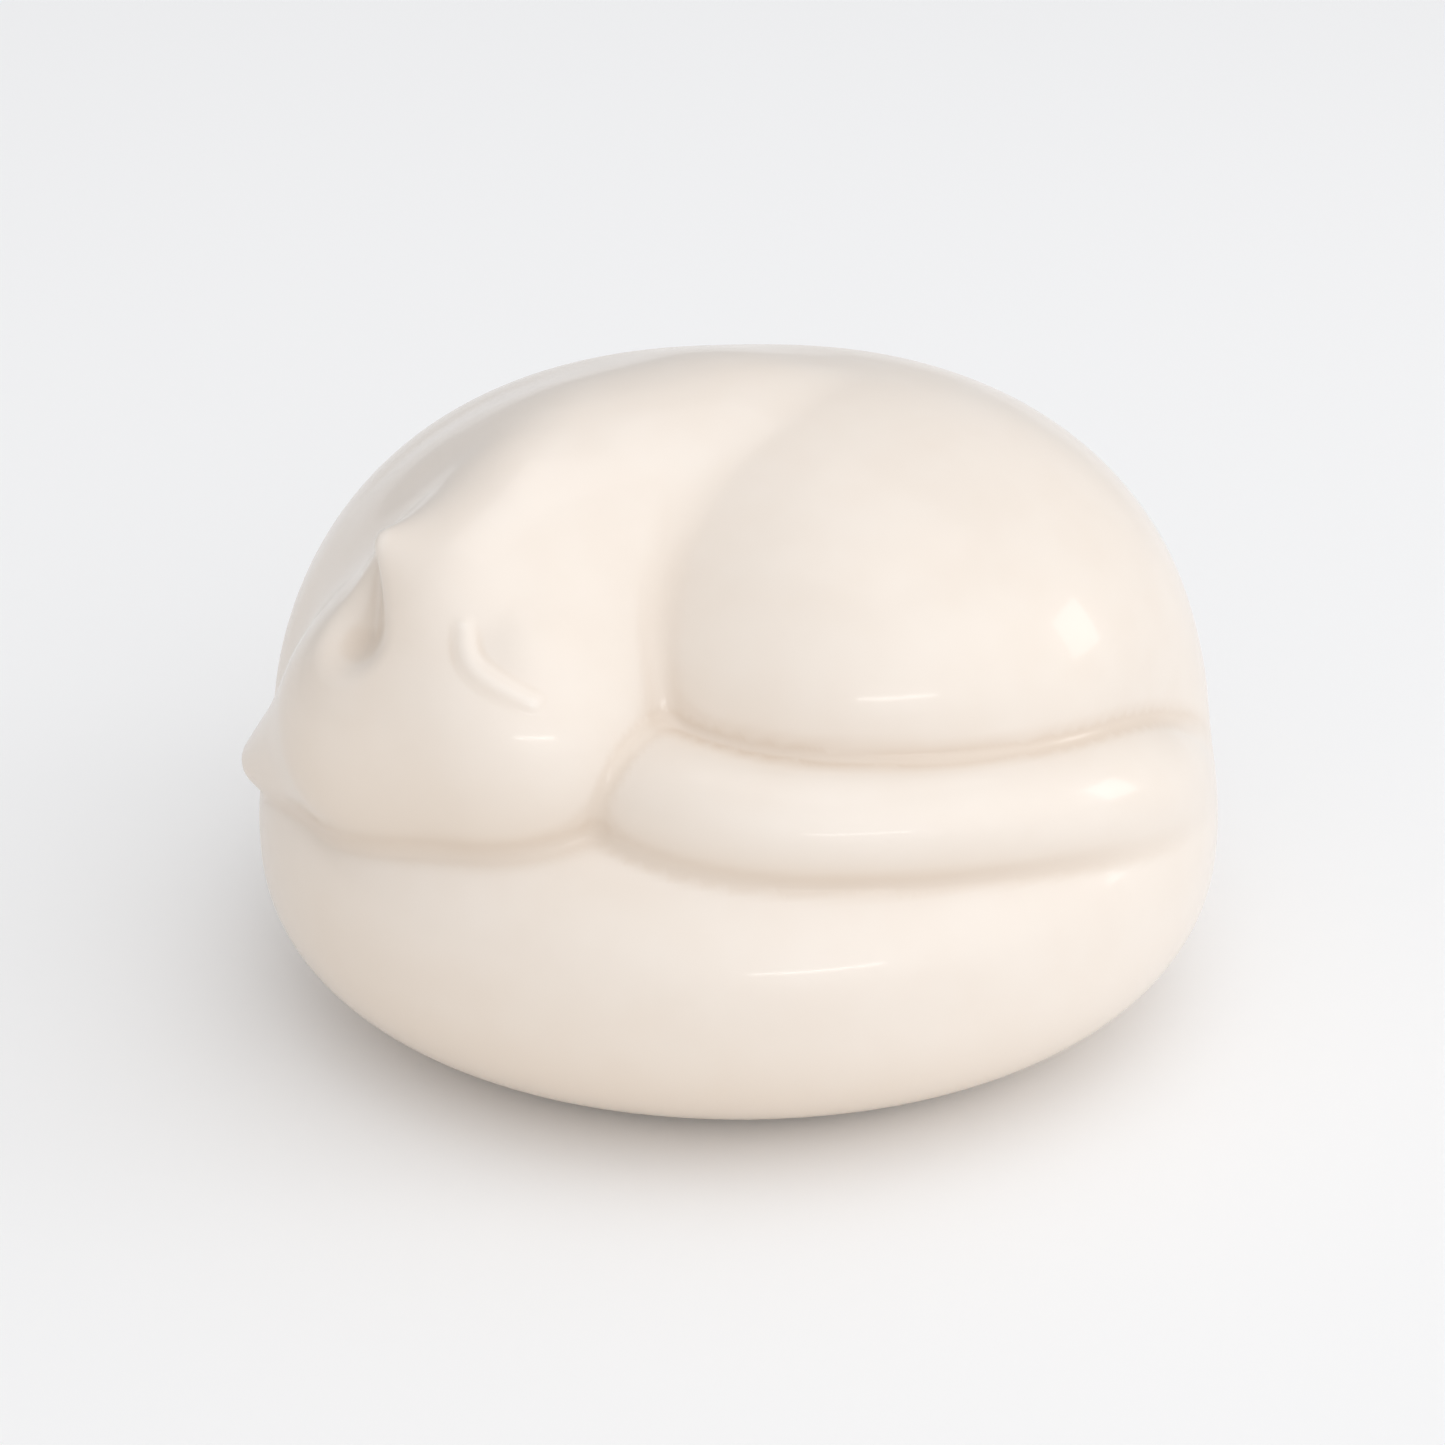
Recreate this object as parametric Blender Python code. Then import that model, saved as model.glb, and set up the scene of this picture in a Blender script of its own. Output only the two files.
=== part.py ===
"""Sleeping cat figurine: a hollow slip-cast, glazed ceramic body that stands on
four thin self-adhesive felt pads.

The cat lies curled up. Its parts are soft sculpted masses that run into each
other: the back, the thigh, the hind foot laid along the front, the head with
its two ears, and the tail and forelegs as one broad band round the base. The
surface is where a smooth union of those masses ends, and a quad sphere is
drawn onto it. The masses are in millimetres above the plane of the foot, the
scene is in metres, +Z is up, and the origin is on the surface that the cat
stands on, under the middle of its box.
"""

from math import cos, pi, radians, sin, sqrt

import bmesh
import bpy
import numpy as np

MM = 0.001

# ---------------------------------------------------------------- dimensions
PAD_D = 14.0  # felt pad diameter
PAD_T = 1.0  # felt pad thickness
PAD_GAP = 0.3  # adhesive film between a pad and the foot
PAD_AT = {
    "felt_pad_front_left": (-33.0, -24.0),
    "felt_pad_front_right": (33.0, -24.0),
    "felt_pad_rear_left": (-30.0, 22.0),
    "felt_pad_rear_right": (30.0, 22.0),
}
FOOT_Z = PAD_T + PAD_GAP
WALL = 5.0  # cast wall
VENT_D = 9.0  # casting vent through the base
RECESS = (60.0, 40.0)  # hollowed middle of the foot, length and width
RECESS_DEPTH = 1.0
OUTER_CUTS = 27  # cuts along each edge of the outer quad sphere
INNER_CUTS = 9  # the same for the cavity
FINE_LOW = (-95.0, -75.0, 34.0)  # the outer surface is drawn finer in here
FINE_HIGH = (-22.0, -16.0, 115.0)
HEART = (0.0, 0.0, 50.0)  # every ray onto the surface starts here

# masses: a centre and half axes, or the points of a run with its radii
BACK = {"at": (0.5, 1.0, 39.6), "half": (85.8, 73.2), "front": 47.3, "rear": 73.0, "under": 45.0, "power": 2.3}
THIGH = {"at": (16.1, -8.3, 70.4), "half": (57.7, 52.0, 40.5), "turn": (0, -0.9, -17.6)}
BAND = {
    "half": 87.2, "front": 74.2, "rear": 68.0, "y": -8.1,
    "depth": 69.2, "top": (70.0, 64.6), "sunk": 3.5, "power_above": 2.6, "power_below": 2.2,
}
HIND_FOOT = (
    (-21.7, -43.8, 61.2, 14.4),
    (-13.2, -54.0, 59.9, 12.8),
    (57.0, -44.9, 54.6, 12.1),
    (70.1, -7.7, 41.0, 14.4),
    (68.0, 26.0, 36.0, 8.0),
)
# the head's axes: from crown to muzzle, and from ear to ear
TO_MUZZLE = (0.77, -0.59, -0.24)
EAR_TO_EAR = (0.56, 0.11, 0.82)
HEAD = {"at": (-37.9, -35.3, 63.1), "half": (31.5, 27.1, 32.0), "turn": (-11.7, -4.0, 6.7)}
NECK = ((-39.7, -23.2, 89.3, 25.3), (-6.3, -5.6, 84.6, 29.6))
CROWN = {"at": (-56.7, -44.0, 101.0), "faces": (-0.7, 0.1, 0.7)}  # where the head is flattened
NEAR_EAR = ((-47.0, -41.0, 91.0, 12.0), (-57.0, -43.5, 99.5, 3.0))
FAR_EAR = ((-59.0, -36.0, 63.0, 19.5), (-82.5, -22.0, 50.0, 5.2))
EAR_CUP = ((-61.8, -42.0, 97.0, 3.4), (-65.2, -49.3, 88.6, 6.8))

# how softly one mass runs into the next
SOFT = {
    "thigh": 12.0,
    "neck": 24.0,
    "crown": 10.0,
    "near_ear": 7.0,
    "far_ear": 12.0,
    "ear_cup": 4.0,
    "head": 3.5,
    "head_behind": 6.0,  # more than that behind the ears
    "head_top": 3.0,  # and more again up on the back
    "hind_foot": 2.2,
    "band": 2.2,
    "band_rear": 16.0,
    "foot_edge": 2.0,
}


# ------------------------------------------------------------- sculpted field
def union(a, b, soft):
    """The nearer of two masses, rounded where they meet."""
    h = np.maximum(soft - np.abs(a - b), 0.0) / soft
    return np.minimum(a, b) - h * h * soft * 0.25


def cut(a, b, soft):
    return -union(-a, b, soft)


def ease(t):
    t = np.clip(t, 0.0, 1.0)
    return t * t * (3.0 - 2.0 * t)


def turned(x, y, z):
    """Rotation matrix from angles in degrees, X first."""
    cx, sx, cy, sy, cz, sz = (f(radians(a)) for a in (x, y, z) for f in (cos, sin))
    about_x = np.array([[1, 0, 0], [0, cx, -sx], [0, sx, cx]])
    about_y = np.array([[cy, 0, sy], [0, 1, 0], [-sy, 0, cy]])
    about_z = np.array([[cz, -sz, 0], [sz, cz, 0], [0, 0, 1]])
    return about_z @ about_y @ about_x


def head_axes():
    along = np.array(TO_MUZZLE) / np.linalg.norm(TO_MUZZLE)
    across = np.array(EAR_TO_EAR) - along * (along @ np.array(EAR_TO_EAR))
    across /= np.linalg.norm(across)
    return turned(*HEAD["turn"]) @ np.stack([along, across, np.cross(along, across)], 1)


def egg(p, at, half, axes):
    q = (p - np.array(at)) @ axes
    half = np.array(half)
    near = np.sqrt(((q / half) ** 2).sum(-1))
    slope = np.sqrt(((q / half**2) ** 2).sum(-1)) + 1e-9
    return near * (near - 1.0) / slope


def dome(p):
    """The back: an egg with full shoulders, deeper behind than in front."""
    q = p - np.array(BACK["at"])
    half = np.stack([
        np.full(len(p), BACK["half"][0]),
        np.where(q[:, 1] < 0, BACK["front"], BACK["rear"]),
        np.where(q[:, 2] > 0, BACK["half"][1], BACK["under"]),
    ], 1)
    k = ((np.abs(q) / half) ** BACK["power"]).sum(1) ** (1.0 / BACK["power"])
    return np.sqrt((q**2).sum(1)) * (1.0 - 1.0 / np.maximum(k, 1e-6))


def taper(p, a, b):
    """The round body between two balls, each given as x, y, z and radius."""
    a, b = np.array(a), np.array(b)
    length = np.linalg.norm(b[:3] - a[:3])
    way = (b[:3] - a[:3]) / length
    lean = (a[3] - b[3]) / length
    along = (p - a[:3]) @ way
    off = np.sqrt(np.maximum(((p - a[:3]) ** 2).sum(1) - along**2, 0.0))
    t = np.clip((along - off * lean / sqrt(1.0 - lean**2)) / length, 0.0, 1.0)
    return np.sqrt(off**2 + (along - t * length) ** 2) - (a[3] + (b[3] - a[3]) * t)


class Run:
    """A natural cubic spline through points with radii, and how far any point
    lies outside the round body that is swept along it."""

    def __init__(self, points):
        p = np.array(points, float)
        h = np.linalg.norm(np.diff(p[:, :3], axis=0), axis=1)
        n = len(p)
        left, right = np.zeros((n, n)), np.zeros_like(p)
        left[0, 0] = left[-1, -1] = 1.0
        for i in range(1, n - 1):
            left[i, i - 1 : i + 2] = h[i - 1], 2 * (h[i - 1] + h[i]), h[i]
            right[i] = 6 * ((p[i + 1] - p[i]) / h[i] - (p[i] - p[i - 1]) / h[i - 1])
        self.p, self.h, self.knots = p, h, np.r_[0.0, np.cumsum(h)]
        self.bend = np.linalg.solve(left, right)

    def at(self, t):
        i = np.clip(np.searchsorted(self.knots, t, side="right") - 1, 0, len(self.h) - 1)
        h = self.h[i][:, None]
        a, b = (self.knots[i + 1] - t)[:, None], (t - self.knots[i])[:, None]
        m, n, p, q = self.bend[i], self.bend[i + 1], self.p[i], self.p[i + 1]
        place = m * a**3 / (6 * h) + n * b**3 / (6 * h) + (p / h - m * h / 6) * a + (q / h - n * h / 6) * b
        speed = -m * a**2 / (2 * h) + n * b**2 / (2 * h) - (p / h - m * h / 6) + (q / h - n * h / 6)
        turn = m * a / h + n * b / h
        return place, speed[:, :3], turn[:, :3]

    def __call__(self, p):
        ts = np.linspace(0.0, self.knots[-1], 13)
        marks = self.at(ts)[0][:, :3]
        t = ts[np.argmin(((p[:, None] - marks[None]) ** 2).sum(-1), 1)]
        for _ in range(3):
            place, speed, turn = self.at(t)
            off = place[:, :3] - p
            pace = (speed**2).sum(1)
            t = t - (off * speed).sum(1) / (pace + np.maximum((off * turn).sum(1), -0.5 * pace))
            t = np.clip(t, 0.0, self.knots[-1])
        place = self.at(t)[0]
        return np.sqrt(((p - place[:, :3]) ** 2).sum(1)) - place[:, 3]


def base_band(p):
    """Tail and forelegs: an upright section swept round an oval, and lower at
    the front than at the sides."""
    a = BAND["half"]
    y = p[:, 1] - BAND["y"]
    b = np.where(y < 0, BAND["front"], BAND["rear"])
    u, v = p[:, 0] / a, y / b
    rho = np.sqrt(u * u + v * v) + 1e-9
    reach = np.sqrt((a * u / rho) ** 2 + (b * v / rho) ** 2)
    front = np.clip(-v / rho, 0.0, 1.0)
    side, middle = BAND["top"]
    top = side + (middle - side) * front**2 * (1.6 - 0.6 * front)
    tall = top / 2 + BAND["sunk"]
    rise = p[:, 2] - (top - tall)
    out = np.abs((rho - 1.0) * reach + BAND["depth"]) / BAND["depth"]
    power = np.where(rise > 0, BAND["power_above"], BAND["power_below"])
    k = (out**power + np.abs(rise / tall) ** power) ** (1.0 / power)
    return (k - 1.0) * np.minimum(BAND["depth"], tall) * 0.9


HIND_FOOT_RUN = Run(HIND_FOOT)
HEAD_AXES = head_axes()
CROWN_WAY = np.array(CROWN["faces"]) / np.linalg.norm(CROWN["faces"])


def bare_head(p):
    head = egg(p, HEAD["at"], HEAD["half"], HEAD_AXES)
    head = union(head, taper(p, *NECK), SOFT["neck"])
    head = cut(head, (np.array(CROWN["at"]) - p) @ CROWN_WAY, SOFT["crown"])
    head = union(head, taper(p, *NEAR_EAR), SOFT["near_ear"])
    head = union(head, taper(p, *FAR_EAR), SOFT["far_ear"])
    return cut(head, taper(p, *EAR_CUP), SOFT["ear_cup"])


def head_softness(p):
    """The head stands off the thigh, and melts into the back behind the ears."""
    behind = ease((p[:, 1] - 0.45 * p[:, 0] + 30.0) / 25.0)
    high = ease((p[:, 2] - 85.0) / 20.0)
    return SOFT["head"] + behind * (SOFT["head_behind"] + SOFT["head_top"] * high)


def cat(p):
    """Less than nothing inside the cat, in millimetres from its surface."""
    thigh = egg(p, THIGH["at"], THIGH["half"], turned(*THIGH["turn"]))
    d = union(dome(p), thigh, SOFT["thigh"])
    d = union(d, bare_head(p), head_softness(p))
    d = union(d, HIND_FOOT_RUN(p), SOFT["hind_foot"])
    rear = ease((p[:, 1] + 5.0) / 45.0)
    d = union(d, base_band(p), SOFT["band"] + (SOFT["band_rear"] - SOFT["band"]) * rear)
    return cut(d, p[:, 2], SOFT["foot_edge"])


# --------------------------------------------------------- drawing the surface
def slope_of(p, reach=0.2):
    corners = np.array([[1, -1, -1], [-1, -1, 1], [-1, 1, -1], [1, 1, 1]], float)
    g = sum(k * cat(p + reach * k)[:, None] for k in corners) / (4 * reach)
    return g


def settle(p, level, rounds):
    """Moves points along the slope until they lie on the surface."""
    for _ in range(rounds):
        g = slope_of(p)
        p = p - (cat(p) - level)[:, None] * g / ((g**2).sum(1)[:, None] + 1e-9)
    return p


def links(bm):
    bm.verts.index_update()
    return np.array([[v.index for v in e.verts] for e in bm.edges])


def evened(p, ends, level, rounds):
    """Every point moves towards the middle of its neighbours and settles."""
    count = np.bincount(ends.ravel(), minlength=len(p))[:, None]
    for _ in range(rounds):
        near = np.stack([
            np.bincount(ends[:, 0], p[ends[:, 1], k], len(p)) + np.bincount(ends[:, 1], p[ends[:, 0], k], len(p))
            for k in range(3)
        ], 1)
        p = settle(p + 0.5 * (near / count - p), level, 1)
    return p


def finer_at_the_head(bm, p, level):
    """The faces of the head are halved both ways, for the ears and creases."""
    inside = ((p - np.array(FINE_LOW)) > 0).all(1) & ((np.array(FINE_HIGH) - p) > 0).all(1)
    for v, co in zip(bm.verts, p):
        v.co = co
    chosen = [e for e in bm.edges if all(inside[v.index] for v in e.verts)]
    bmesh.ops.subdivide_edges(bm, edges=chosen, cuts=1, use_grid_fill=True)
    bmesh.ops.triangulate(bm, faces=[f for f in bm.faces if len(f.verts) > 4])
    p = settle(np.array([v.co for v in bm.verts], float), level, 2)
    return evened(p, links(bm), level, 4)


def drawn_quad_sphere(name, cuts, level, relax, fine=False):
    """A cube subdivided to a quad sphere, drawn in along its rays to where the
    cat's surface lies at this level, then evened out along that surface."""
    bm = bmesh.new()
    bmesh.ops.create_cube(bm, size=2.0)
    bmesh.ops.subdivide_edges(bm, edges=bm.edges[:], cuts=cuts, use_grid_fill=True)
    rays = np.tan(np.array([v.co for v in bm.verts], float) * pi / 4)
    rays /= np.linalg.norm(rays, axis=1)[:, None]
    reach = np.full(len(rays), 150.0)
    for _ in range(90):
        reach -= 0.85 * (cat(np.array(HEART) + rays * reach[:, None]) - level)
    p = settle(np.array(HEART) + rays * reach[:, None], level, 2)
    p = evened(p, links(bm), level, relax)
    if fine:
        p = finer_at_the_head(bm, p, level)
    p = settle(p, level, 3)
    if level == 0.0:
        p = pull_to_extremes(p)
        p[p[:, 2] < 0.05, 2] = 0.0
    for v, co in zip(bm.verts, p):
        v.co = co
    mesh = bpy.data.meshes.new(name)
    bm.to_mesh(mesh)
    bm.free()
    return mesh


def pull_to_extremes(p):
    """The outermost point each way slides to where the surface really ends, so
    the facets don't cut the cat's box."""
    for way in ((-1, 0, 0), (1, 0, 0), (0, -1, 0), (0, 1, 0), (0, 0, 1)):
        way = np.array(way, float)
        i = int(np.argmax(p @ way))
        q = p[i : i + 1]
        for _ in range(60):
            g = slope_of(q)
            g /= np.linalg.norm(g)
            q = settle(q + 0.3 * (way - g * (g @ way)), 0.0, 1)
        p[i] = q[0]
    return p


# ------------------------------------------------------------------- building
def material(name, colour, roughness):
    made = bpy.data.materials.new(name)
    made.use_nodes = True
    shader = made.node_tree.nodes["Principled BSDF"]
    shader.inputs["Base Color"].default_value = (*colour, 1.0)
    shader.inputs["Roughness"].default_value = roughness
    shader.inputs["Metallic"].default_value = 0.0
    return made


def collection(name):
    made = bpy.data.collections.new(name)
    bpy.context.scene.collection.children.link(made)
    return made


def place(mesh, where, parent=None, look=None):
    obj = bpy.data.objects.new(mesh.name, mesh)
    where.objects.link(obj)
    obj.parent = parent
    if look:
        mesh.materials.append(look)
    return obj


def hide(obj):
    obj.hide_render = True
    obj.display_type = "WIRE"


def scaled(mesh, shift):
    """Millimetres above the foot to metres in the scene."""
    for v in mesh.vertices:
        v.co = (
            (v.co[0] + shift[0]) * MM,
            (v.co[1] + shift[1]) * MM,
            (v.co[2] + FOOT_Z) * MM,
        )
    mesh.update()


def disc(name, diameter, low, high, sides=40, squash=1.0):
    bm = bmesh.new()
    bmesh.ops.create_cone(
        bm, cap_ends=True, segments=sides,
        radius1=diameter / 2 * MM, radius2=diameter / 2 * MM, depth=(high - low) * MM,
    )
    for v in bm.verts:
        v.co.y *= squash
        v.co.z += (low + high) / 2 * MM
    mesh = bpy.data.meshes.new(name)
    bm.to_mesh(mesh)
    bm.free()
    return mesh


def round_shading(mesh, angle):
    mesh.shade_smooth()
    mesh.set_sharp_from_angle(angle=radians(angle))


def carve(obj, cutter):
    made = obj.modifiers.new("cut_" + cutter.name, "BOOLEAN")
    made.operation = "DIFFERENCE"
    made.solver = "EXACT"
    made.object = cutter


def build():
    for obj in list(bpy.data.objects):
        bpy.data.objects.remove(obj, do_unlink=True)
    parts = collection("sleeping_cat_figurine")
    cutters = collection("cutters")

    origin = bpy.data.objects.new("cat_origin", None)
    parts.objects.link(origin)

    glaze = material("cream_glaze", (0.86, 0.80, 0.72), 0.16)
    felt = material("cream_felt", (0.62, 0.57, 0.49), 0.95)

    outer = drawn_quad_sphere("ceramic_body", OUTER_CUTS, 0.0, 12, fine=True)
    co = np.array([v.co for v in outer.vertices])
    shift = -(co.min(0) + co.max(0)) / 2
    scaled(outer, shift)
    round_shading(outer, 40)
    body = place(outer, parts, origin, glaze)

    core = drawn_quad_sphere("cavity_core", INNER_CUTS, -WALL, 6)
    scaled(core, shift)
    vent = disc("vent_drill", VENT_D, -2.0, FOOT_Z + WALL + 8.0, 28)
    recess = disc(
        "foot_recess_mill", RECESS[0], -2.0, FOOT_Z + RECESS_DEPTH, 56, RECESS[1] / RECESS[0]
    )
    for mesh in (recess, core, vent):
        cutter = place(mesh, cutters)
        hide(cutter)
        carve(body, cutter)

    for name, (x, y) in PAD_AT.items():
        mesh = disc(name, PAD_D, 0.0, PAD_T, 32)
        round_shading(mesh, 40)
        pad = place(mesh, parts, origin, felt)
        pad.location = (x * MM, y * MM, 0.0)


build()
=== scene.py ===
"""The looks of the sleeping cat figurine: the same sculpted surface as the CAD
body, drawn finely, with its glaze, its unglazed foot and its felt pads, on a
pale floor under soft studio light.

The masses are in millimetres above the plane of the ceramic foot.
"""

from math import cos, pi, radians, sin, sqrt

import bmesh
import bpy
import numpy as np
from mathutils import Matrix, Vector


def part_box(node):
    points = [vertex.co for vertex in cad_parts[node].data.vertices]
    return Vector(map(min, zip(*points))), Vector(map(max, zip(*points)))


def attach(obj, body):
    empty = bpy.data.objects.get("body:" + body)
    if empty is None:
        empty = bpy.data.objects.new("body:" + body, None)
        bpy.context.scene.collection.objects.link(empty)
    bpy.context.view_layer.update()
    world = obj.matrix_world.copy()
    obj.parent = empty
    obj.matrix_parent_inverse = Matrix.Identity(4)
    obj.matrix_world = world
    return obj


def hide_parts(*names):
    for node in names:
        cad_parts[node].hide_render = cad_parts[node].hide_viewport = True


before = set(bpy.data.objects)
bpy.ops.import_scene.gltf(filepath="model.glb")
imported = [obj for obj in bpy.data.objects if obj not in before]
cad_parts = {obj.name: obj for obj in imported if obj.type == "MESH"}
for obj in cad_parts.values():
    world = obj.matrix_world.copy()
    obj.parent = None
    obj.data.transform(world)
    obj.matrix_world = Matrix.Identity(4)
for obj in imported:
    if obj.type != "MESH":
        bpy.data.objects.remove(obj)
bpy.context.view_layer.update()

MM = 0.001

# ---------------------------------------------------------------- dimensions
PAD_T = 1.0
PAD_GAP = 0.3
FOOT_Z = PAD_T + PAD_GAP
WALL = 5.0
VENT_D = 9.0
RECESS = (60.0, 40.0)
RECESS_DEPTH = 1.0
SKIN = 0.06  # the drawn surface lies this far inside the CAD surface
HEART = (0.0, 0.0, 50.0)
FINE_LOW = (-95.0, -75.0, 34.0)  # the surface is drawn finer in here
FINE_HIGH = (-22.0, -16.0, 115.0)

BACK = {"at": (0.5, 1.0, 39.6), "half": (85.8, 73.2), "front": 47.3, "rear": 73.0, "under": 45.0, "power": 2.3}
THIGH = {"at": (16.1, -8.3, 70.4), "half": (57.7, 52.0, 40.5), "turn": (0, -0.9, -17.6)}
BAND = {
    "half": 87.2, "front": 74.2, "rear": 68.0, "y": -8.1,
    "depth": 69.2, "top": (70.0, 64.6), "sunk": 3.5, "power_above": 2.6, "power_below": 2.2,
}
HIND_FOOT = (
    (-21.7, -43.8, 61.2, 14.4),
    (-13.2, -54.0, 59.9, 12.8),
    (57.0, -44.9, 54.6, 12.1),
    (70.1, -7.7, 41.0, 14.4),
    (68.0, 26.0, 36.0, 8.0),
)
# the head's axes: from crown to muzzle, and from ear to ear
TO_MUZZLE = (0.77, -0.59, -0.24)
EAR_TO_EAR = (0.56, 0.11, 0.82)
HEAD = {"at": (-37.9, -35.3, 63.1), "half": (31.5, 27.1, 32.0), "turn": (-11.7, -4.0, 6.7)}
NECK = ((-39.7, -23.2, 89.3, 25.3), (-6.3, -5.6, 84.6, 29.6))
CROWN = {"at": (-56.7, -44.0, 101.0), "faces": (-0.7, 0.1, 0.7)}  # where the head is flattened
NEAR_EAR = ((-47.0, -41.0, 91.0, 12.0), (-57.0, -43.5, 99.5, 3.0))
FAR_EAR = ((-59.0, -36.0, 63.0, 19.5), (-82.5, -22.0, 50.0, 5.2))
EAR_CUP = ((-61.8, -42.0, 97.0, 3.4), (-65.2, -49.3, 88.6, 6.8))

# a closed eye: a shallow ball, and the lid's edge as a fine ridge under it
EYEBALL = (-34.5, -51.6, 84.3, 7.7)
LID = ((-44.0, -57.0, 91.5), (-43.0, -60.0, 87.0), (-40.0, -61.5, 84.6), (-33.0, -63.0, 81.3))
LID_R = (0.5, 1.0, 1.1, 0.5)
LID_RISE = (-0.25, 0.12, 0.12, -0.25)

# how softly one mass runs into the next
SOFT = {
    "thigh": 12.0,
    "neck": 24.0,
    "crown": 10.0,
    "near_ear": 7.0,
    "far_ear": 12.0,
    "ear_cup": 4.0,
    "eyeball": 3.2,
    "lid": 2.2,
    "head": 3.5,
    "head_behind": 6.0,  # more than that behind the ears
    "head_top": 3.0,  # and more again up on the back
    "hind_foot": 2.2,
    "band": 2.2,
    "band_rear": 16.0,
    "foot_edge": 2.0,
}


# --------------------------------------------------------------------- finish
GLAZE = (0.802, 0.718, 0.640)
GLAZE_SHADE = (0.786, 0.698, 0.614)
GLAZE_PALE = (0.860, 0.800, 0.738)
# glaze pooled in fine creases, also used as painted shade in broad hollows
GLAZE_POOL_AND_SHADE = (0.640, 0.510, 0.395)
GLAZE_PAINTED_SHADE = (0.762, 0.640, 0.520)  # painted shade: a darker, warmer glaze for faces turned down or to the left
IRON = (0.30, 0.19, 0.11)
CLAY = (0.74, 0.655, 0.56)
CLAY_SHADE = (0.62, 0.535, 0.44)
GLAZE_ROUGH = (0.30, 0.38)
FLOOR = (0.91, 0.91, 0.913)

# ------------------------------------------------------------------- the light
ROOM_LEVEL = 0.70
ROOM_LEAN = (0.21, -0.15, 0.11)  # brighter to the right, in front and above
KEY_WAY = (0.40, -0.74, 0.54)  # the broad soft key comes from here
KEY_TIGHT = 4.0
KEY_LEVEL = 0.68
LAMPS = {  # place, aim, size, power
    "overhead_softbox": ((0.15, -0.1, 1.3), (0.0, 0.0, 0.03), (1.0, 0.8), 1.5),
    "right_window": ((1.4, -0.05, 0.42), (0.0, 0.0, 0.05), (0.42, 0.52), 1.6),
    "front_strip": ((0.28, -1.1, 0.25), (0.0, 0.0, 0.06), (0.5, 0.03), 0.4),
}


# ------------------------------------------------------------- sculpted field
def union(a, b, soft):
    """The nearer of two masses, rounded where they meet."""
    h = np.maximum(soft - np.abs(a - b), 0.0) / soft
    return np.minimum(a, b) - h * h * soft * 0.25


def cut(a, b, soft):
    return -union(-a, b, soft)


def ease(t):
    t = np.clip(t, 0.0, 1.0)
    return t * t * (3.0 - 2.0 * t)


def turned(x, y, z):
    """Rotation matrix from angles in degrees, X first."""
    cx, sx, cy, sy, cz, sz = (f(radians(a)) for a in (x, y, z) for f in (cos, sin))
    about_x = np.array([[1, 0, 0], [0, cx, -sx], [0, sx, cx]])
    about_y = np.array([[cy, 0, sy], [0, 1, 0], [-sy, 0, cy]])
    about_z = np.array([[cz, -sz, 0], [sz, cz, 0], [0, 0, 1]])
    return about_z @ about_y @ about_x


def head_axes():
    along = np.array(TO_MUZZLE) / np.linalg.norm(TO_MUZZLE)
    across = np.array(EAR_TO_EAR) - along * (along @ np.array(EAR_TO_EAR))
    across /= np.linalg.norm(across)
    return turned(*HEAD["turn"]) @ np.stack([along, across, np.cross(along, across)], 1)


def egg(p, at, half, axes):
    q = (p - np.array(at)) @ axes
    half = np.array(half)
    near = np.sqrt(((q / half) ** 2).sum(-1))
    slope = np.sqrt(((q / half**2) ** 2).sum(-1)) + 1e-9
    return near * (near - 1.0) / slope


def dome(p):
    """The back: an egg with full shoulders, deeper behind than in front."""
    q = p - np.array(BACK["at"])
    half = np.stack([
        np.full(len(p), BACK["half"][0]),
        np.where(q[:, 1] < 0, BACK["front"], BACK["rear"]),
        np.where(q[:, 2] > 0, BACK["half"][1], BACK["under"]),
    ], 1)
    k = ((np.abs(q) / half) ** BACK["power"]).sum(1) ** (1.0 / BACK["power"])
    return np.sqrt((q**2).sum(1)) * (1.0 - 1.0 / np.maximum(k, 1e-6))


def taper(p, a, b):
    """The round body between two balls, each given as x, y, z and radius."""
    a, b = np.array(a), np.array(b)
    length = np.linalg.norm(b[:3] - a[:3])
    way = (b[:3] - a[:3]) / length
    lean = (a[3] - b[3]) / length
    along = (p - a[:3]) @ way
    off = np.sqrt(np.maximum(((p - a[:3]) ** 2).sum(1) - along**2, 0.0))
    t = np.clip((along - off * lean / sqrt(1.0 - lean**2)) / length, 0.0, 1.0)
    return np.sqrt(off**2 + (along - t * length) ** 2) - (a[3] + (b[3] - a[3]) * t)


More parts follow.
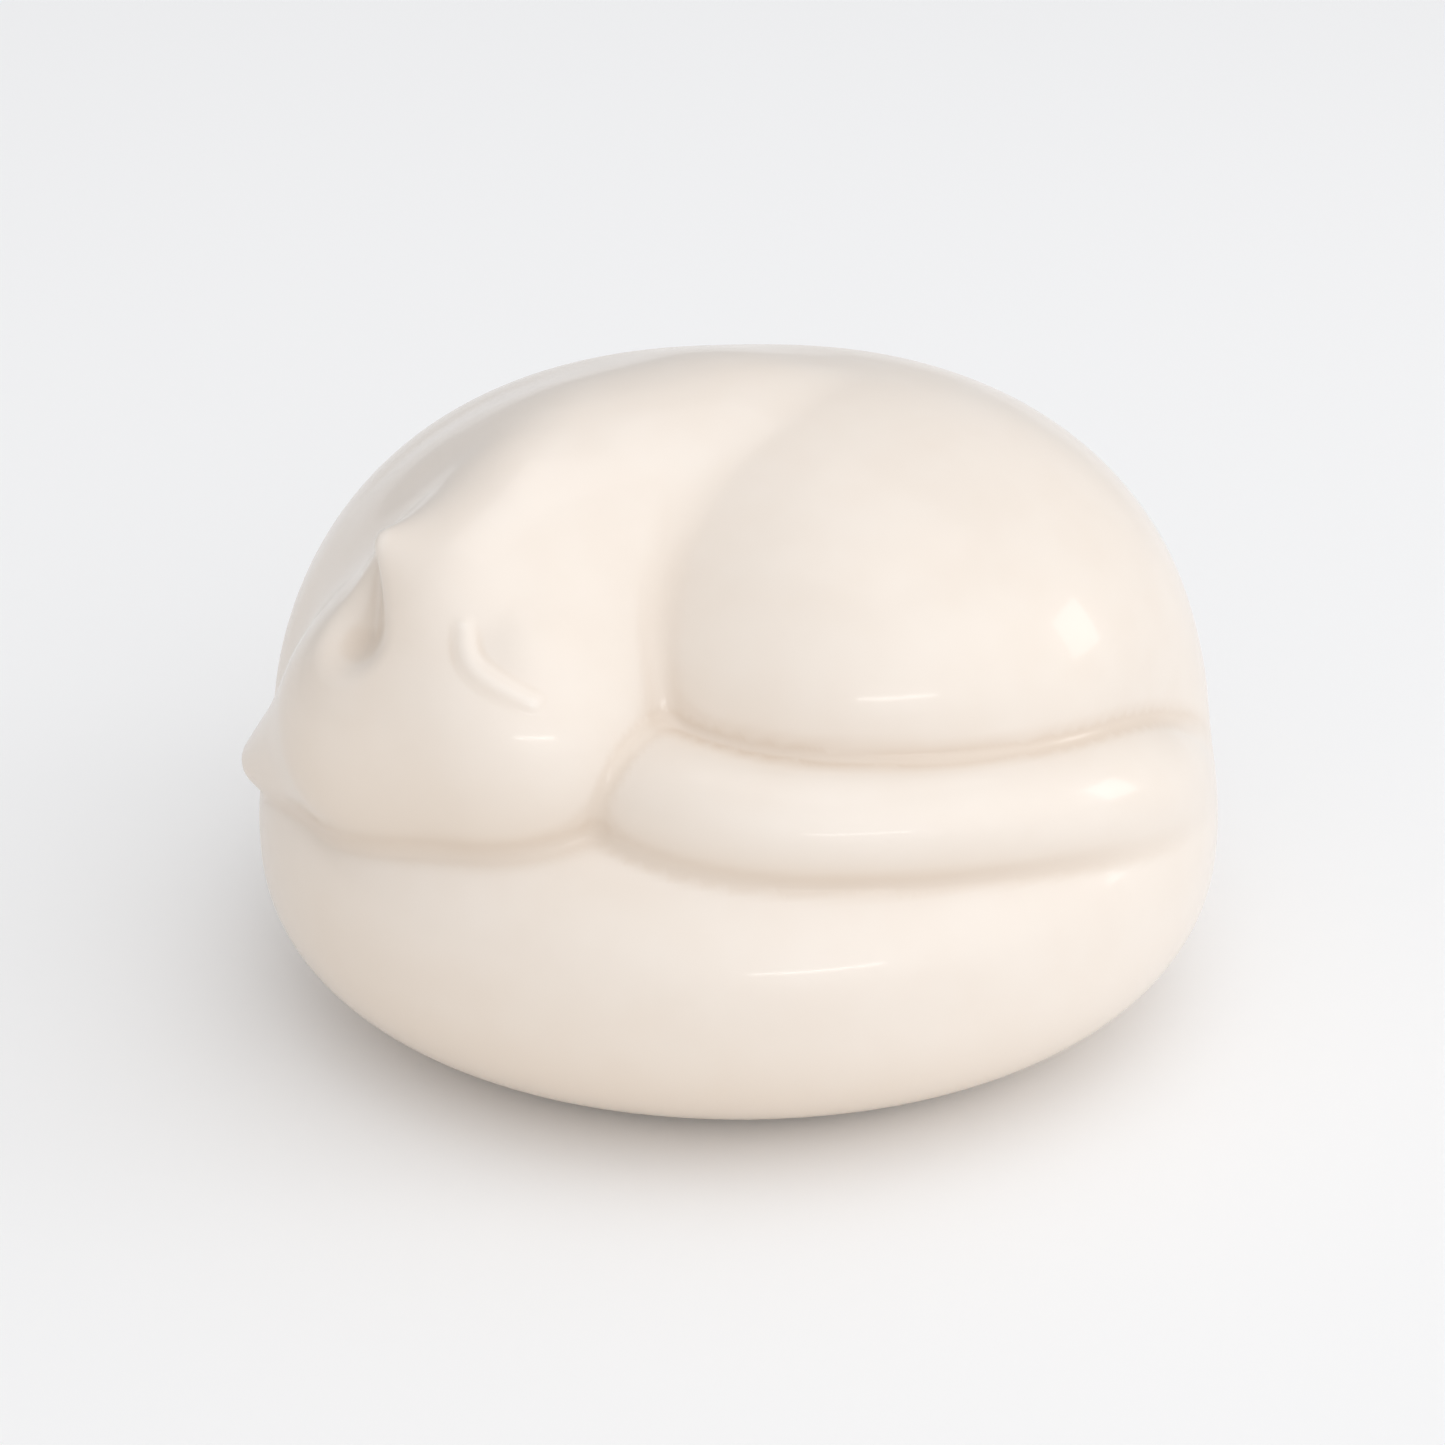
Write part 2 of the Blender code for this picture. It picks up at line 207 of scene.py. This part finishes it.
class Run:
    """A natural cubic spline through points with radii, and how far any point
    lies outside the round body that is swept along it."""

    def __init__(self, points):
        p = np.array(points, float)
        h = np.linalg.norm(np.diff(p[:, :3], axis=0), axis=1)
        n = len(p)
        left, right = np.zeros((n, n)), np.zeros_like(p)
        left[0, 0] = left[-1, -1] = 1.0
        for i in range(1, n - 1):
            left[i, i - 1 : i + 2] = h[i - 1], 2 * (h[i - 1] + h[i]), h[i]
            right[i] = 6 * ((p[i + 1] - p[i]) / h[i] - (p[i] - p[i - 1]) / h[i - 1])
        self.p, self.h, self.knots = p, h, np.r_[0.0, np.cumsum(h)]
        self.bend = np.linalg.solve(left, right)

    def at(self, t):
        i = np.clip(np.searchsorted(self.knots, t, side="right") - 1, 0, len(self.h) - 1)
        h = self.h[i][:, None]
        a, b = (self.knots[i + 1] - t)[:, None], (t - self.knots[i])[:, None]
        m, n, p, q = self.bend[i], self.bend[i + 1], self.p[i], self.p[i + 1]
        place = m * a**3 / (6 * h) + n * b**3 / (6 * h) + (p / h - m * h / 6) * a + (q / h - n * h / 6) * b
        speed = -m * a**2 / (2 * h) + n * b**2 / (2 * h) - (p / h - m * h / 6) + (q / h - n * h / 6)
        turn = m * a / h + n * b / h
        return place, speed[:, :3], turn[:, :3]

    def __call__(self, p):
        ts = np.linspace(0.0, self.knots[-1], 13)
        marks = self.at(ts)[0][:, :3]
        t = ts[np.argmin(((p[:, None] - marks[None]) ** 2).sum(-1), 1)]
        for _ in range(3):
            place, speed, turn = self.at(t)
            off = place[:, :3] - p
            pace = (speed**2).sum(1)
            t = t - (off * speed).sum(1) / (pace + np.maximum((off * turn).sum(1), -0.5 * pace))
            t = np.clip(t, 0.0, self.knots[-1])
        place = self.at(t)[0]
        return np.sqrt(((p - place[:, :3]) ** 2).sum(1)) - place[:, 3]


def base_band(p):
    """Tail and forelegs: an upright section swept round an oval, and lower at
    the front than at the sides."""
    a = BAND["half"]
    y = p[:, 1] - BAND["y"]
    b = np.where(y < 0, BAND["front"], BAND["rear"])
    u, v = p[:, 0] / a, y / b
    rho = np.sqrt(u * u + v * v) + 1e-9
    reach = np.sqrt((a * u / rho) ** 2 + (b * v / rho) ** 2)
    front = np.clip(-v / rho, 0.0, 1.0)
    side, middle = BAND["top"]
    top = side + (middle - side) * front**2 * (1.6 - 0.6 * front)
    tall = top / 2 + BAND["sunk"]
    rise = p[:, 2] - (top - tall)
    out = np.abs((rho - 1.0) * reach + BAND["depth"]) / BAND["depth"]
    power = np.where(rise > 0, BAND["power_above"], BAND["power_below"])
    k = (out**power + np.abs(rise / tall) ** power) ** (1.0 / power)
    return (k - 1.0) * np.minimum(BAND["depth"], tall) * 0.9


HIND_FOOT_RUN = Run(HIND_FOOT)
HEAD_AXES = head_axes()
CROWN_WAY = np.array(CROWN["faces"]) / np.linalg.norm(CROWN["faces"])


def bare_head(p):
    head = egg(p, HEAD["at"], HEAD["half"], HEAD_AXES)
    head = union(head, taper(p, *NECK), SOFT["neck"])
    head = cut(head, (np.array(CROWN["at"]) - p) @ CROWN_WAY, SOFT["crown"])
    head = union(head, taper(p, *NEAR_EAR), SOFT["near_ear"])
    head = union(head, taper(p, *FAR_EAR), SOFT["far_ear"])
    return cut(head, taper(p, *EAR_CUP), SOFT["ear_cup"])


def head_softness(p):
    """The head stands off the thigh, and melts into the back behind the ears."""
    behind = ease((p[:, 1] - 0.45 * p[:, 0] + 30.0) / 25.0)
    high = ease((p[:, 2] - 85.0) / 20.0)
    return SOFT["head"] + behind * (SOFT["head_behind"] + SOFT["head_top"] * high)


def lid_run():
    """The ridge's middle line lies just under the skin of the head."""
    p = np.array(LID)
    sink = np.array(LID_RISE) - np.array(LID_R)
    for _ in range(6):
        g = np.stack([bare_head(p + k) - bare_head(p - k) for k in np.eye(3) * 0.2], 1)
        g /= np.linalg.norm(g, axis=1)[:, None]
        p = p - (bare_head(p) - sink)[:, None] * g
    return Run([(*v, r) for v, r in zip(p, LID_R)])


LID_RUN = lid_run()


def cat(p):
    """Less than nothing inside the cat, in millimetres from its surface."""
    head = bare_head(p)
    head = union(head, taper(p, EYEBALL, (*np.add(EYEBALL[:3], 0.01), EYEBALL[3])), SOFT["eyeball"])
    head = union(head, LID_RUN(p), SOFT["lid"])
    thigh = egg(p, THIGH["at"], THIGH["half"], turned(*THIGH["turn"]))
    d = union(dome(p), thigh, SOFT["thigh"])
    d = union(d, head, head_softness(p))
    d = union(d, HIND_FOOT_RUN(p), SOFT["hind_foot"])
    rear = ease((p[:, 1] + 5.0) / 45.0)
    d = union(d, base_band(p), SOFT["band"] + (SOFT["band_rear"] - SOFT["band"]) * rear)
    return cut(d, p[:, 2], SOFT["foot_edge"])


# --------------------------------------------------------- drawing the surface
CORNERS = np.array([[1, -1, -1], [-1, -1, 1], [-1, 1, -1], [1, 1, 1]], float)


def slope_of(p, reach=0.15):
    return sum(k * cat(p + reach * k)[:, None] for k in CORNERS) / (4 * reach)


def settle(p, level, rounds):
    for _ in range(rounds):
        g = slope_of(p)
        step = (cat(p) - level)[:, None] * g / ((g**2).sum(1)[:, None] + 1e-9)
        p = p - step
    return p


def quad_sphere(cuts):
    bm = bmesh.new()
    bmesh.ops.create_cube(bm, size=2.0)
    bmesh.ops.subdivide_edges(bm, edges=bm.edges[:], cuts=cuts, use_grid_fill=True)
    return bm


def links(bm):
    bm.verts.index_update()
    return np.array([[v.index for v in e.verts] for e in bm.edges])


def evened(p, ends, level, rounds):
    count = np.bincount(ends.ravel(), minlength=len(p))[:, None]
    for _ in range(rounds):
        near = np.stack([
            np.bincount(ends[:, 0], p[ends[:, 1], k], len(p)) + np.bincount(ends[:, 1], p[ends[:, 0], k], len(p))
            for k in range(3)
        ], 1)
        p = settle(p + 0.5 * (near / count - p), level, 1)
    return p


def drawn(name, coarse, doublings, level, relax, fine=None):
    """A quad sphere drawn in onto the cat's surface, then split and settled
    again as many times as there are doublings, and once more inside the fine
    box and along the creases."""
    bm = quad_sphere(coarse)
    rays = np.tan(np.array([v.co for v in bm.verts], float) * pi / 4)
    rays /= np.linalg.norm(rays, axis=1)[:, None]
    heart = np.array(HEART)
    reach = np.full(len(rays), 150.0)
    for _ in range(90):
        reach -= 0.85 * (cat(heart + rays * reach[:, None]) - level)
    p = settle(heart + rays * reach[:, None], level, 2)
    p = evened(p, links(bm), level, relax)
    for step in range(doublings + (fine is not None)):
        for v, co in zip(bm.verts, p):
            v.co = co
        edges = bm.edges[:]
        if step == doublings:
            inside = ((p - np.array(fine[0])) > 0).all(1) & ((np.array(fine[1]) - p) > 0).all(1)
            inside |= bend_at(p) < -0.12
            edges = [e for e in edges if all(inside[v.index] for v in e.verts)]
        bmesh.ops.subdivide_edges(bm, edges=edges, cuts=1, use_grid_fill=True)
        p = np.array([v.co for v in bm.verts], float)
        p = evened(settle(p, level, 2), links(bm), level, 2)
    p = settle(p, level, 2)
    p[p[:, 2] < 0.02, 2] = 0.0
    for v, co in zip(bm.verts, p):
        v.co = co
    for f in bm.faces:
        f.smooth = True
    mesh = bpy.data.meshes.new(name)
    bm.to_mesh(mesh)
    bm.free()
    return mesh


def bend_at(p, reach=1.3):
    """How strongly the surface curves, per millimetre: below nothing in a
    crease and above it on an edge."""
    around = sum(cat(p + k) + cat(p - k) for k in np.eye(3) * reach)
    return (around - 6.0 * cat(p)) / reach**2


def keep(mesh, name, values):
    mesh.attributes.new(name, "FLOAT", "POINT").data.foreach_set("value", np.asarray(values, np.float32))


def drum(name, low_radius, high_radius, low, high, sides, squash=1.0):
    bm = bmesh.new()
    bmesh.ops.create_cone(
        bm, cap_ends=True, segments=sides,
        radius1=low_radius * MM, radius2=high_radius * MM, depth=(high - low) * MM,
    )
    for v in bm.verts:
        v.co.y *= squash
        v.co.z += (low + high) / 2 * MM
    mesh = bpy.data.meshes.new(name)
    bm.to_mesh(mesh)
    bm.free()
    return mesh


def carve(obj, cutter):
    """Cuts now, and leaves neither the modifier nor the cutter behind."""
    made = obj.modifiers.new("cut", "BOOLEAN")
    made.operation = "DIFFERENCE"
    made.solver = "EXACT"
    made.object = cutter
    made.material_mode = "TRANSFER"
    seen = bpy.context.evaluated_depsgraph_get()
    seen.update()
    mesh = bpy.data.meshes.new_from_object(obj.evaluated_get(seen))
    obj.modifiers.clear()
    obj.data = mesh
    bpy.data.objects.remove(cutter, do_unlink=True)


def settled_shading(mesh):
    mesh.shade_smooth()
    mesh.set_sharp_from_angle(angle=radians(40))


def felt_disc(name, low, high):
    """A die-cut disc with a soft rim and a slightly wavy edge, which fills its
    box."""
    radius, thick = (high[0] - low[0]) / 2, high[2] - low[2]
    bm = bmesh.new()
    bmesh.ops.create_cone(bm, cap_ends=True, cap_tris=False, segments=96, radius1=radius, radius2=radius, depth=thick)
    rims = [e for e in bm.edges if abs(e.verts[0].co.z - e.verts[1].co.z) < 1e-9]
    bmesh.ops.bevel(bm, geom=rims, offset=thick * 0.22, segments=4, affect="EDGES", clamp_overlap=True)
    for f in [f for f in bm.faces if len(f.verts) > 8]:
        bmesh.ops.poke(bm, faces=[f])
    turn = sum(ord(c) for c in name)
    for v in bm.verts:
        around = np.arctan2(v.co.y, v.co.x)
        fray = 0.006 * (sin(17 * around + turn) + sin(31 * around + 2 * turn) - 2.0) / 2.0
        v.co.x *= 1.0 + fray
        v.co.y *= 1.0 + fray
    at = [(a + b) / 2 for a, b in zip(low, high)]
    bmesh.ops.translate(bm, verts=bm.verts, vec=at)
    mesh = bpy.data.meshes.new("disc_" + name)
    bm.to_mesh(mesh)
    bm.free()
    settled_shading(mesh)
    return mesh


# ------------------------------------------------------------------- materials
def nodes_of(name):
    made = bpy.data.materials.new(name)
    made.use_nodes = True
    tree = made.node_tree
    return made, tree, tree.nodes["Principled BSDF"], tree.nodes["Material Output"]


def add(tree, kind, **values):
    node = tree.nodes.new(kind)
    for key, value in values.items():
        if key in node.inputs:
            node.inputs[key].default_value = value
        else:
            setattr(node, key, value)
    return node


def mix_colour(tree, factor, a, b, blend="MIX"):
    node = tree.nodes.new("ShaderNodeMix")
    node.data_type = "RGBA"
    node.blend_type = blend
    for socket, value in ((node.inputs[0], factor), (node.inputs[6], a), (node.inputs[7], b)):
        if hasattr(value, "links"):
            tree.links.new(value, socket)
        elif isinstance(value, tuple):
            socket.default_value = (*value, 1.0)
        else:
            socket.default_value = value
    return node.outputs[2]


def ranged(tree, value, low, high, to_low=0.0, to_high=1.0):
    node = tree.nodes.new("ShaderNodeMapRange")
    node.interpolation_type = "SMOOTHSTEP"
    tree.links.new(value, node.inputs[0])
    for i, v in enumerate((low, high, to_low, to_high)):
        node.inputs[i + 1].default_value = v
    return node.outputs[0]


def noise(tree, where, scale, detail, rough=0.5, lacunarity=2.0):
    node = add(tree, "ShaderNodeTexNoise", Scale=scale, Detail=detail, Roughness=rough, Lacunarity=lacunarity)
    tree.links.new(where, node.inputs["Vector"])
    return node.outputs["Fac"]


def arithmetic(tree, operation, a, b=0.0):
    node = tree.nodes.new("ShaderNodeMath")
    node.operation = operation
    for socket, value in zip(node.inputs, (a, b)):
        if hasattr(value, "links"):
            tree.links.new(value, socket)
        else:
            socket.default_value = value
    return node.outputs[0]


def stored(tree, name):
    node = tree.nodes.new("ShaderNodeAttribute")
    node.attribute_name = name
    return node.outputs["Fac"]


def height_of(tree, where):
    node = tree.nodes.new("ShaderNodeSeparateXYZ")
    tree.links.new(where, node.inputs[0])
    return node.outputs["Z"]


def specks(tree, where, scale, radius, share):
    """Small round spots, one at most in each cell and only in some cells."""
    node = add(tree, "ShaderNodeTexVoronoi", Scale=scale)
    tree.links.new(where, node.inputs["Vector"])
    spot = ranged(tree, node.outputs["Distance"], radius, 0.45 * radius)
    split = tree.nodes.new("ShaderNodeSeparateXYZ")
    tree.links.new(node.outputs["Color"], split.inputs[0])
    chosen = arithmetic(tree, "LESS_THAN", split.outputs["X"], share)
    return arithmetic(tree, "MULTIPLY", spot, chosen)


def bumped(tree, shader, layers):
    """Bump layers one over another, each a height, its strength and depth."""
    below = None
    for height, strength, depth in layers:
        node = add(tree, "ShaderNodeBump", Strength=strength, Distance=depth)
        tree.links.new(height, node.inputs["Height"])
        if below is not None:
            tree.links.new(below, node.inputs["Normal"])
        below = node.outputs["Normal"]
    tree.links.new(below, shader.inputs["Normal"])
    return below


def glaze_material():
    """Cream glaze over buff clay: cloudy, warmer where it pools in a fine
    crease, paler where it thins over an edge, with painted shade in broad
    hollows and on the faces that turn down or to the left, and a few iron
    specks and pinholes. It is wiped off the foot, where the clay is bare."""
    made, tree, shader, _ = nodes_of("cream_glaze")
    where = tree.nodes.new("ShaderNodeTexCoord").outputs["Object"]

    cloud = ranged(tree, noise(tree, where, 16.0, 4.0, 0.55), 0.34, 0.68)
    mottle = ranged(tree, noise(tree, where, 110.0, 2.0, 0.4), 0.2, 0.8)
    colour = mix_colour(tree, cloud, GLAZE_SHADE, GLAZE)
    colour = mix_colour(tree, arithmetic(tree, "MULTIPLY", mottle, 0.20), colour, GLAZE_PALE)
    # painted shade: faces turned down or to the left are mixed towards a darker, warmer glaze
    painted_shade_facing = arithmetic(tree, "MULTIPLY", stored(tree, "painted_shade_facing"), 0.85)
    colour = mix_colour(tree, painted_shade_facing, colour, GLAZE_PAINTED_SHADE)
    # painted shade: broad hollows are darkened towards the pooled glaze colour
    painted_hollow_shade = arithmetic(tree, "MULTIPLY", stored(tree, "painted_hollow_shade"), 0.22)
    colour = mix_colour(tree, painted_hollow_shade, colour, GLAZE_POOL_AND_SHADE)
    pooled = arithmetic(tree, "MULTIPLY", stored(tree, "pooled"), 0.45)
    colour = mix_colour(tree, pooled, colour, GLAZE_POOL_AND_SHADE)
    thinned = arithmetic(tree, "MULTIPLY", stored(tree, "thinned"), 0.45)
    colour = mix_colour(tree, thinned, colour, GLAZE_PALE)
    iron = specks(tree, where, 62.0, 0.013, 0.10)
    fine_iron = specks(tree, where, 150.0, 0.020, 0.03)
    colour = mix_colour(tree, arithmetic(tree, "MULTIPLY", iron, 0.38), colour, IRON)
    colour = mix_colour(tree, arithmetic(tree, "MULTIPLY", fine_iron, 0.35), colour, IRON)

    # the foot is wiped clean up to an uneven line just above the floor
    ragged = arithmetic(tree, "MULTIPLY", noise(tree, where, 90.0, 3.0), 0.0009)
    wiped = ranged(tree, arithmetic(tree, "ADD", height_of(tree, where), ragged), (FOOT_Z + 1.75) * MM, (FOOT_Z + 1.35) * MM)
    grain = noise(tree, where, 1400.0, 4.0, 0.7)
    clay = mix_colour(tree, ranged(tree, grain, 0.3, 0.7), CLAY_SHADE, CLAY)
    colour = mix_colour(tree, wiped, colour, clay)
    tree.links.new(colour, shader.inputs["Base Color"])

    gloss = ranged(tree, noise(tree, where, 38.0, 2.0, 0.4), 0.3, 0.7, GLAZE_ROUGH[0], GLAZE_ROUGH[1])
    rough = tree.nodes.new("ShaderNodeMix")
    tree.links.new(wiped, rough.inputs[0])
    tree.links.new(gloss, rough.inputs[2])
    rough.inputs[3].default_value = 0.88
    tree.links.new(rough.outputs[0], shader.inputs["Roughness"])
    coat = tree.nodes.new("ShaderNodeMix")
    tree.links.new(wiped, coat.inputs[0])
    coat.inputs[2].default_value = 0.5
    coat.inputs[3].default_value = 0.0
    tree.links.new(coat.outputs[0], shader.inputs["Coat Weight"])
    shader.inputs["Coat Roughness"].default_value = 0.09
    shader.inputs["IOR"].default_value = 1.5
    shader.inputs["Subsurface Weight"].default_value = 0.0

    hand = noise(tree, where, 30.0, 2.0)
    peel = noise(tree, where, 300.0, 1.0, 0.4)
    pinholes = arithmetic(tree, "SUBTRACT", 1.0, specks(tree, where, 70.0, 0.018, 0.05))
    bare_grain = arithmetic(tree, "MULTIPLY", grain, wiped)
    bumped(tree, shader, (
        (hand, 0.25, 0.0010), (peel, 0.05, 0.00020), (pinholes, 0.4, 0.00020), (bare_grain, 0.8, 0.00018),
    ))
    return made


def clay_material():
    """The raw cast wall inside: buff clay with a fine grain."""
    made, tree, shader, _ = nodes_of("bare_clay")
    where = tree.nodes.new("ShaderNodeTexCoord").outputs["Object"]
    grain = noise(tree, where, 1400.0, 4.0, 0.7)
    patch = noise(tree, where, 60.0, 3.0)
    colour = mix_colour(tree, ranged(tree, grain, 0.3, 0.7), CLAY_SHADE, CLAY)
    colour = mix_colour(tree, ranged(tree, patch, 0.35, 0.75, 0.0, 0.3), colour, CLAY_SHADE)
    tree.links.new(colour, shader.inputs["Base Color"])
    shader.inputs["Roughness"].default_value = 0.9
    bumped(tree, shader, ((patch, 0.3, 0.0006), (grain, 0.8, 0.00018)))
    return made


def felt_material():
    """Pressed wool felt: crossing fibres, small pills and a soft sheen."""
    made, tree, shader, _ = nodes_of("cream_felt")
    where = tree.nodes.new("ShaderNodeTexCoord").outputs["Object"]
    fibres = []
    for stretch, turn in (((1.0, 9.0, 3.0), 0.4), ((8.0, 1.0, 3.0), 1.1)):
        place = tree.nodes.new("ShaderNodeMapping")
        place.inputs["Rotation"].default_value = (0.0, 0.0, turn)
        place.inputs["Scale"].default_value = stretch
        tree.links.new(where, place.inputs["Vector"])
        fibres.append(noise(tree, place.outputs["Vector"], 700.0, 4.0, 0.65))
    web = arithmetic(tree, "MAXIMUM", fibres[0], fibres[1])
    pills = noise(tree, where, 520.0, 3.0)
    colour = mix_colour(tree, ranged(tree, web, 0.42, 0.72), (0.43, 0.37, 0.30), (0.66, 0.60, 0.51))
    colour = mix_colour(tree, ranged(tree, pills, 0.45, 0.75, 0.0, 0.4), colour, (0.72, 0.67, 0.59))
    tree.links.new(colour, shader.inputs["Base Color"])
    shader.inputs["Roughness"].default_value = 0.95
    shader.inputs["Sheen Weight"].default_value = 0.35
    shader.inputs["Sheen Roughness"].default_value = 0.5
    bumped(tree, shader, ((pills, 0.5, 0.0004), (web, 0.8, 0.0003)))
    return made


# --------------------------------------------------------------------- staging
def link(obj):
    bpy.context.scene.collection.objects.link(obj)
    return obj


def camera(shift):
    data = bpy.data.cameras.new("camera")
    data.sensor_width = 36.0
    data.lens = 70.1
    data.clip_end = 50.0
    cam = link(bpy.data.objects.new("camera", data))
    cam.location = ((-2.9 + shift[0]) * MM, (-463.1 + shift[1]) * MM, (277.2 + FOOT_Z) * MM)
    cam.rotation_euler = (radians(90.0 - 26.5), 0.0, 0.0)
    bpy.context.scene.camera = cam


def area_light(name, at, towards, size, power, colour=(1.0, 1.0, 1.0)):
    data = bpy.data.lights.new(name, "AREA")
    data.shape = "RECTANGLE"
    data.size, data.size_y = size
    data.energy = power
    data.color = colour
    lamp = link(bpy.data.objects.new(name, data))
    lamp.location = at
    way = Vector(towards) - Vector(at)
    lamp.rotation_euler = way.to_track_quat("-Z", "Y").to_euler()
    return lamp


def stage():
    world = bpy.data.worlds.new("studio")
    bpy.context.scene.world = world
    world.use_nodes = True
    tree = world.node_tree
    back = tree.nodes["Background"]
    back.inputs["Color"].default_value = (0.985, 0.99, 1.0, 1.0)
    way = tree.nodes.new("ShaderNodeTexCoord").outputs["Generated"]

    def along(direction):
        node = tree.nodes.new("ShaderNodeVectorMath")
        node.operation = "DOT_PRODUCT"
        node.inputs[1].default_value = direction
        tree.links.new(way, node.inputs[0])
        return node.outputs["Value"]

    def sum_of(operation, a, b):
        node = tree.nodes.new("ShaderNodeMath")
        node.operation = operation
        for socket, value in zip(node.inputs, (a, b)):
            if hasattr(value, "links"):
                tree.links.new(value, socket)
            else:
                socket.default_value = value
        return node.outputs[0]

    lobe = sum_of("POWER", sum_of("MAXIMUM", along(Vector(KEY_WAY).normalized()), 0.0), KEY_TIGHT)
    level = sum_of("ADD", along(ROOM_LEAN), ROOM_LEVEL)
    level = sum_of("ADD", level, sum_of("MULTIPLY", lobe, KEY_LEVEL))
    tree.links.new(level, back.inputs["Strength"])

    bm = bmesh.new()
    bmesh.ops.create_grid(bm, x_segments=2, y_segments=2, size=4.0)
    mesh = bpy.data.meshes.new("floor")
    bm.to_mesh(mesh)
    bm.free()
    floor = link(bpy.data.objects.new("floor", mesh))
    made, tree, shader, _ = nodes_of("pale_floor")
    shader.inputs["Base Color"].default_value = (*FLOOR, 1.0)
    shader.inputs["Roughness"].default_value = 0.8
    shader.inputs["Specular IOR Level"].default_value = 0.1
    mesh.materials.append(made)

    for name, lamp in LAMPS.items():
        area_light(name, *lamp)


# -------------------------------------------------------------------- building
PADS = [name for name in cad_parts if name.startswith("felt_pad")]
low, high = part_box("ceramic_body")
centre = (np.array(low) + np.array(high)) / 2 / MM

outer = drawn("cat_body", 12, 3, -SKIN, 12, (FINE_LOW, FINE_HIGH))
points = np.array([v.co for v in outer.vertices])
shift = centre[:2] - (points.min(0) + points.max(0))[:2] / 2
to_room = Matrix.Diagonal((MM, MM, MM, 1.0)) @ Matrix.Translation((shift[0], shift[1], FOOT_Z))
camera(shift)

curve = bend_at(points)
keep(outer, "pooled", ease((-curve - 0.03) / 0.30))
keep(outer, "thinned", ease((curve - 0.10) / 0.45))
# painted shade mask: broad hollows, from the curvature over 6 mm
keep(outer, "painted_hollow_shade", ease((-bend_at(points, 6.0) - 0.01) / 0.09))
facing = slope_of(points)
facing /= np.linalg.norm(facing, axis=1)[:, None]
# painted shade mask: how far each face turns down or to the left, away from the light above and to the right
keep(outer, "painted_shade_facing", ease((0.45 - facing @ np.array([0.45, 0.0, 0.9])) / 1.3))
outer.transform(to_room)
outer.materials.append(glaze_material())

clay = clay_material()
core = drawn("cavity_core", 9, 0, -WALL, 6)
core.transform(to_room)
vent = drum("vent_drill", VENT_D / 2, VENT_D / 2, -2.0, FOOT_Z + WALL + 8.0, 48)
recess = drum("foot_recess_mill", RECESS[0] / 2 + 1.2, RECESS[0] / 2, -1.0, FOOT_Z + RECESS_DEPTH, 128, RECESS[1] / RECESS[0])
body = link(bpy.data.objects.new("cat_body", outer))
for mesh in (recess, core, vent):
    mesh.materials.append(clay if mesh is core else outer.materials[0])
    carve(body, link(bpy.data.objects.new(mesh.name, mesh)))
settled_shading(body.data)
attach(body, "root")
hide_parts("ceramic_body")

felt = felt_material()
for name in PADS:
    low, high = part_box(name)
    pad = link(bpy.data.objects.new("disc_" + name, felt_disc(name, low, high)))
    pad.data.materials.append(felt)
    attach(pad, "root")
    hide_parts(name)

stage()
bpy.context.scene.view_settings.view_transform = "Standard"
